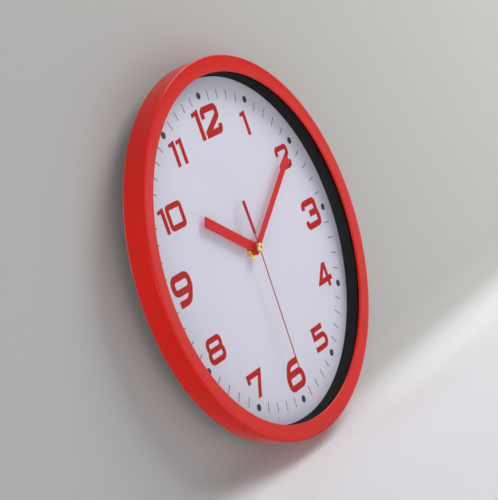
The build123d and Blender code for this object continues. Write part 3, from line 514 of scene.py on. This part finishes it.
lip_overlap = 4.0  # of the lip over the lens
lip_r = lens_r - lip_overlap
bore_r = ring_flange_r + 0.5
side_taper = 1.3  # the case is narrower at the rear by this much
ring_t = 1.6
ring_flange_rear = ring_front - ring_t
screw_count = 6
screw_head_r = 2.5


def screw_places():
    """Centres (x, z) of the cover screws, in metres. The first is at 12 o'clock."""
    circle_r = reach("back_cover_screws") - screw_head_r * MM
    turns = [2 * pi * i / screw_count for i in range(screw_count)]
    return [(circle_r * sin(turn), circle_r * cos(turn)) for turn in turns]


def case_ring():
    """Case wall and front lip in one turned shell, with its six screw bosses inside."""
    lip_fall = 0.55  # the lip's inner edge is this much lower than its crown
    crown_in = 3.0  # the crown starts this far in from the case's edge
    shell = rounded(in_metres((
        (bore_r, case_rear, 0.25),
        (bore_r, lens_front, 0.3),
        (lip_r, lens_front, 0.15),
        (lip_r, case_front - lip_fall, 0.8),
        (case_r - crown_in, case_front, 1.2),
        (case_r, case_front, 2.4),
        (case_r - side_taper, case_rear, 0.8),
    )), steps=9)
    bm = bmesh.new()
    revolve(bm, shell, segments=384)

    cover_rib_h = 1.9  # the cover's ribs stand this high over the face that the bosses touch
    boss_r, boss_nose_r, hole_r = 3.6, 3.2, 1.35
    boss_rear = cover_front - cover_rib_h
    boss_front = ring_flange_rear - 0.2
    boss = rounded(in_metres((
        (hole_r, boss_rear, 0.2),
        (boss_nose_r, boss_rear, 0.3),
        (boss_r, boss_front, 0.0),
        (hole_r, boss_front, 0.0),
    )), steps=3)
    for x, z in screw_places():
        def at_screw(r, height, turn):
            return Vector((x + r * sin(turn), -height, z + r * cos(turn)))
        revolve(bm, boss, place=at_screw, segments=32)
    return fit(finish_mesh(bm, "case_shell"), "clock_frame", "case_red", "case_ring")


def inner_ring():
    foot_in = 1.0  # the ring narrows towards the dial by this much
    piece = lathe("inner_ring_smooth", (
        (lip_r - foot_in, dial_front, 0.15),
        (lip_r, ring_front, 0.3),
        (ring_flange_r, ring_front, 0.3),
        (ring_flange_r, ring_flange_rear, 0.3),
        (lip_r + ring_t, ring_flange_rear, 0.4),
        (lip_r - foot_in + ring_t, dial_front, 0.15),
    ))
    return fit(piece, "clock_frame", "ring_black", "inner_ring")


def lens():
    chamfer = 0.3
    piece = lathe("lens_pane", (
        (0.0, lens_rear, 0.0),
        (lens_r - chamfer, lens_rear, 0.1),
        (lens_r, lens_rear + chamfer, 0.1),
        (lens_r, lens_front - chamfer, 0.1),
        (lens_r - chamfer, lens_front, 0.1),
        (0.0, lens_front, 0.0),
    ))
    piece.visible_shadow = False
    return fit(piece, "clock_frame", "lens_clear", "lens")


def dial():
    bore = 4.15
    piece = lathe("dial_sheet", (
        (bore, dial_rear, 0.1),
        (dial_r, dial_rear, 0.1),
        (dial_r, dial_front, 0.15),
        (bore, dial_front, 0.15),
    ))
    return fit(piece, "clock_frame", "dial_grey", "dial")


case_ring()
inner_ring()
lens()
dial()


# ------------------------------------------------------------------ bushing, washer and nut
thread_r = 4.0


def washer():
    rear, front = heights("bushing_washer")
    outer_r = radius("bushing_washer")
    bore = thread_r + 0.1
    piece = lathe("dial_washer", (
        (bore, rear, 0.05),
        (outer_r, rear, 0.1),
        (outer_r, front, 0.18),
        (bore, front, 0.1),
    ), segments=128)
    return fit(piece, "clock_frame", "brass", "bushing_washer")


def bushing():
    """Flanged bushing with a thread for its nut."""
    rear, front = heights("threaded_bushing")
    flange_r = radius("threaded_bushing")
    flange_t, bore, pitch, thread_h, run_out = 0.8, 2.55, 0.5, 0.25, 0.3
    flange_front = rear + flange_t
    root_r = thread_r - thread_h
    corners = [
        (bore, rear, 0.0),
        (flange_r, rear, 0.1),
        (flange_r, flange_front, 0.1),
        (root_r, flange_front, 0.0),
    ]
    height = flange_front + run_out
    while height < front - pitch:
        corners += [
            (root_r, height, 0.0),
            (thread_r, height + 0.3 * pitch, 0.0),
            (thread_r, height + 0.5 * pitch, 0.0),
        ]
        height += pitch
    corners += [(thread_r - 0.2, front, 0.1), (bore, front, 0.1)]
    return fit(lathe("bushing_thread", corners, segments=96), "clock_frame", "brass",
               "threaded_bushing")


def nut():
    """Hexagon nut with turned-off corners and a countersunk bore."""
    rear, front = heights("bushing_nut")
    corner_r = radius("bushing_nut")
    sides, around = 6, 96
    bore, sink, sink_r = 4.05, 0.3, 4.35
    turned_off = ((rear, 0.3), (rear + 0.2, 0.0), (front - 0.6, 0.0), (front, 1.0))
    turns = [2 * pi * step / around for step in range(around)]

    def across_hexagon(turn):
        within = turn % (2 * pi / sides) - pi / sides
        return corner_r * cos(pi / sides) / cos(within)

    bm = bmesh.new()

    def ring(height, radius_at):
        points = [(radius_at(turn) * MM, turn) for turn in turns]
        return [bm.verts.new((r * cos(turn), -height * MM, r * sin(turn))) for r, turn in points]

    stack = [ring(height, lambda turn: min(across_hexagon(turn), corner_r - cut))
             for height, cut in turned_off]
    stack += [ring(height, lambda turn: r)
              for height, r in ((front, sink_r), (front - sink, bore), (rear, bore))]
    for lower, upper in zip(stack, stack[1:] + stack[:1]):
        join_rings(bm, lower, upper)
    return fit(finish_mesh(bm, "dial_nut"), "clock_frame", "brass", "bushing_nut")


washer()
bushing()
nut()


# ------------------------------------------------------------------ hands
def disc_arc(across, hub_r, steps=40):
    """Points round a hub's far side, from the blade's right edge to its left edge."""
    first = asin(across / hub_r)
    turns = [first + (2 * pi - 2 * first) * step / steps for step in range(steps + 1)]
    return [Vector((hub_r * sin(turn), hub_r * cos(turn))) for turn in turns]


def blade(hand, width, hub_r, bore, low, high, collars):
    """Flat painted hand: a straight blade on a round hub, with turned collars under and over it.

    Each collar is (radius, rear height, front height).
    """
    half = width / 2 * MM
    length = sqrt(reach(hand)**2 - half**2)
    tip_r = 0.25 * MM
    tip = rounded([(half, length, tip_r), (-half, length, tip_r), (0, 0, 0)], steps=3)[:-1]
    bm = bmesh.new()
    extrude(bm, list(reversed(tip)) + disc_arc(half, hub_r * MM), low * MM, high * MM,
            heading(hand))
    piece = finish_mesh(bm, f"{hand}_plate")
    soften(piece, 0.14 * MM)
    fit(piece, hand, "hand_red", hand)
    for part, (r, bottom, top) in collars.items():
        fit(lathe(f"{hand}_plate_{part}", (
            (bore, bottom, 0.0),
            (r, bottom, 0.12),
            (r, top, 0.22),
            (bore, top, 0.08),
        ), segments=96), hand, "hand_red")


foot_h, blade_t = 0.5, 0.5
for hand, width, hub_r, bore, foot_r, boss_r in (
    ("hour_hand", 8.5, 5.4, 2.5, 4.7, 4.0),
    ("minute_hand", 5.5, 3.9, 1.6, 3.4, 2.9),
):
    rear, front = heights(hand)
    low, high = rear + foot_h, rear + foot_h + blade_t
    blade(hand, width, hub_r, bore, low, high,
          {"foot": (foot_r, rear, low), "boss": (boss_r, high, front)})


def second_hand():
    """Thin needle with a wider tail that bends towards the dial."""
    low, high = (h * MM for h in heights("second_hand"))
    droop, neck, tail = 0.9 * MM, 11.0 * MM, 37.5 * MM
    half, hub_r, tail_half, tail_narrower = 0.6 * MM, 2.9 * MM, 2.0 * MM, 0.2 * MM
    hub_steps = 12
    first = asin(half / hub_r)
    turns = [first + (pi - 2 * first) * step / hub_steps for step in range(hub_steps + 1)]
    side = [Vector((half, reach("second_hand")))]
    side += [Vector((hub_r * sin(turn), hub_r * cos(turn))) for turn in turns]
    side += [Vector((half, -neck)), Vector((tail_half - tail_narrower, -neck)),
             Vector((tail_half, -tail))]
    bm = bmesh.new()
    extrude(bm, side + [Vector((-p.x, p.y)) for p in reversed(side)], low + droop, high,
            heading("second_hand"),
            bend=lambda along: droop * max(-along - neck, 0.0) / (tail - neck))
    piece = finish_mesh(bm, "second_hand_needle")
    soften(piece, 0.07 * MM, segments=2)
    return fit(piece, "second_hand", "second_red", "second_hand")


def second_hub():
    """Nickel bush under the second hand and brass cap over it."""
    arbor_r = 0.55
    rear, front = heights("second_hand_bush")
    bush_r = radius("second_hand_bush")
    fit(lathe("second_bush_turned", (
        (arbor_r, rear, 0.0),
        (bush_r, rear, 0.1),
        (bush_r, front, 0.12),
        (arbor_r, front, 0.0),
    ), segments=96), "second_hand", "contact_metal", "second_hand_bush")

    rear, front = heights("second_hand_cap")
    cap_r = radius("second_hand_cap")
    socket_h, recess_r, recess_h = 0.3, 1.0, 0.8
    fit(lathe("cap_turned", (
        (0.0, rear + socket_h, 0.0),
        (arbor_r, rear + socket_h, 0.0),
        (arbor_r, rear, 0.0),
        (cap_r, rear, 0.05),
        (cap_r, front, 0.8),
        (recess_r, front, 0.15),
        (recess_r, front - recess_h, 0.1),
        (0.0, front - recess_h, 0.0),
    ), segments=96), "second_hand", "brass", "second_hand_cap")


second_hand()
second_hub()


# ------------------------------------------------------------------ stage
FLOOR_Z = cad_box[0].z - 16 * MM
WALL_Y = 0.2 * MM
STAGE = 3.0
COVE_R = 45 * MM
CLEAR_WITHIN = 35 * MM  # rays from the clock's back go through the wall
WALL = (0.52, 0.517, 0.508)
WALL_PAINTED_LIGHT_RIGHT = (0.58, 0.562, 0.53)
FLOOR = (0.88, 0.90, 0.92)


def backdrop_paint():
    """Matt paint that only shows from its front: paler on the floor, and on the wall a painted
    light that makes it paler towards the right.
    """
    material, tree, where = new_tree("backdrop")
    along = node(tree, "ShaderNodeSeparateXYZ", Vector=where).outputs
    height = node(tree, "ShaderNodeMapRange", {"interpolation_type": "SMOOTHSTEP"},
                  Value=along["Z"], From_Min=FLOOR_Z, From_Max=FLOOR_Z + 0.5 * COVE_R)
    # Painted light: the wall grows paler towards the right, the side of the key lamp.
    across = spread(tree, along["X"], 0.0, 1.0, start=-0.2, end=0.6)
    tone = blend_colour(tree, height.outputs["Result"], FLOOR,
                        blend_colour(tree, across, WALL, WALL_PAINTED_LIGHT_RIGHT))
    cloud = spread(tree, noise(tree, where, 0.4), 0.0, 0.03)
    paint = node(tree, "ShaderNodeBsdfDiffuse",
                 Color=blend_colour(tree, cloud, tone, (0.5, 0.5, 0.5)))
    # Clear from behind, and no hindrance to the light that shines on the clock's back.
    back = node(tree, "ShaderNodeNewGeometry").outputs["Backfacing"]
    path = node(tree, "ShaderNodeLightPath").outputs
    short = calculate(tree, "LESS_THAN", path["Ray Length"], CLEAR_WITHIN)
    not_camera = calculate(tree, "SUBTRACT", 1.0, path["Is Camera Ray"])
    clear = calculate(tree, "MAXIMUM", back, calculate(tree, "MULTIPLY", short, not_camera))
    mix = node(tree, "ShaderNodeMixShader", Fac=clear)
    tree.links.new(paint.outputs[0], mix.inputs[1])
    tree.links.new(node(tree, "ShaderNodeBsdfTransparent").outputs[0], mix.inputs[2])
    show(tree, mix)
    return material


def backdrop():
    """Floor that turns up into the wall through a cove, as one sheet."""
    steps = 16
    section = [(-STAGE, FLOOR_Z)]
    for step in range(steps + 1):
        turn = pi / 2 * step / steps
        section.append((WALL_Y - COVE_R * (1 - sin(turn)), FLOOR_Z + COVE_R * (1 - cos(turn))))
    section.append((WALL_Y, STAGE))
    points = [(x, y, z) for y, z in section for x in (-STAGE, STAGE)]
    faces = [(2 * i, 2 * i + 1, 2 * i + 3, 2 * i + 2) for i in range(len(section) - 1)]
    mesh = bpy.data.meshes.new("backdrop")
    mesh.from_pydata(points, [], faces)
    mesh.materials.append(backdrop_paint())
    link_smooth(mesh, "backdrop")


backdrop()


# ------------------------------------------------------------------ light
def softbox(name, place, size, watts):
    """Square area light that points at the middle of the clock."""
    light = bpy.data.lights.new(name, "AREA")
    light.energy = watts
    light.size = size
    lamp = bpy.data.objects.new(name, light)
    lamp.location = place
    lamp.rotation_euler = (-Vector(place)).to_track_quat("-Z", "Y").to_euler()
    lamp.visible_camera = False
    scene.collection.objects.link(lamp)


softbox("key", (1.7, -1.1, 1.5), 1.2, 40)
softbox("fill", (-1.9, -0.5, 0.15), 0.9, 13)
softbox("rear", (0.0, 2.0, 0.35), 1.0, 14)

world = bpy.data.worlds.new("studio")
world.use_nodes = True
background = world.node_tree.nodes["Background"].inputs
background["Color"].default_value = (0.93, 0.94, 0.96, 1.0)
background["Strength"].default_value = 0.34
scene.world = world
scene.view_settings.view_transform = "Standard"

# ------------------------------------------------------------------ camera
VIEW_AZIMUTH = radians(-57.3)
VIEW_ELEVATION = radians(7.6)
VIEW_LEAN = radians(19.2)  # how far 12 o'clock leans to the left
VIEW_DISTANCE = 1.353
FOCAL_MM = 127.6

dial_centre = Vector((0.0, -dial_front * MM, 0.0))
to_camera = Vector((
    sin(VIEW_AZIMUTH) * cos(VIEW_ELEVATION),
    -cos(VIEW_AZIMUTH) * cos(VIEW_ELEVATION),
    sin(VIEW_ELEVATION),
))
camera = bpy.data.objects.new("camera", bpy.data.cameras.new("camera"))
camera.data.sensor_width = 36.0
camera.data.lens = FOCAL_MM
camera.data.clip_end = 50.0
camera.data.shift_x = -0.005
camera.data.shift_y = -0.0015
camera.matrix_world = (
    Matrix.Translation(dial_centre + to_camera * VIEW_DISTANCE)
    @ (-to_camera).to_track_quat("-Z", "Y").to_matrix().to_4x4()
    @ Matrix.Rotation(-VIEW_LEAN, 4, "Z")
)
scene.collection.objects.link(camera)
scene.camera = camera
